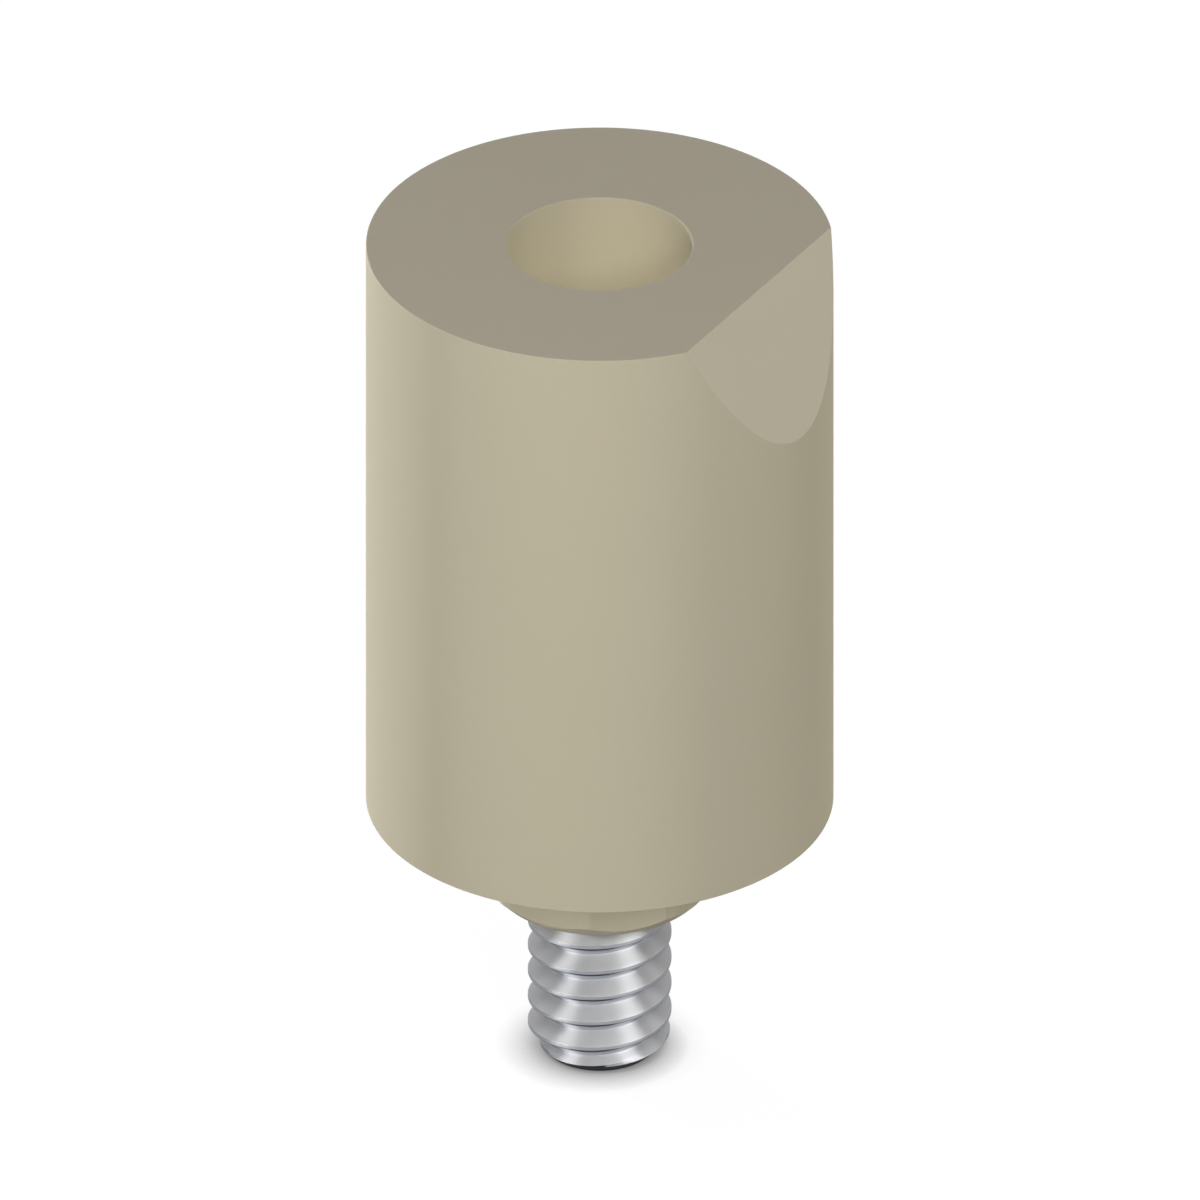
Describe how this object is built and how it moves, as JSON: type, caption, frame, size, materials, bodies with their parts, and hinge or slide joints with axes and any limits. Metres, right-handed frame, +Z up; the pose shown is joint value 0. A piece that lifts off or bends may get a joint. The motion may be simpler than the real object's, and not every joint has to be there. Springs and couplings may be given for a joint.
{
  "type": "dental scan body",
  "caption": "Plastic scan body with a slanted scan flat and an octagonal neck, held by a titanium fixing screw with a hex socket.",
  "frame": {"origin": "on the axis of the cylinder, at the plane of its underside, where it seats on the implant or analogue", "axes": "+Z up the axis, from the screw's tip to the top face; +X is the side that the scan flat faces"},
  "size_m": [0.0064, 0.0064, 0.0126],
  "materials": {
    "peek": "fine-turned, matt beige",
    "titanium": "turned and polished titanium"
  },
  "bodies": {
    "scan_body": {"scan_body": "peek"},
    "screw": {"screw": "titanium"}
  },
  "joints": [
    {"name": "screw_spin", "type": "hinge", "parent": "scan_body", "child": "screw", "pos_m": [0, 0, 0], "axis": [0, 0, 1], "continuous": true}
  ]
}
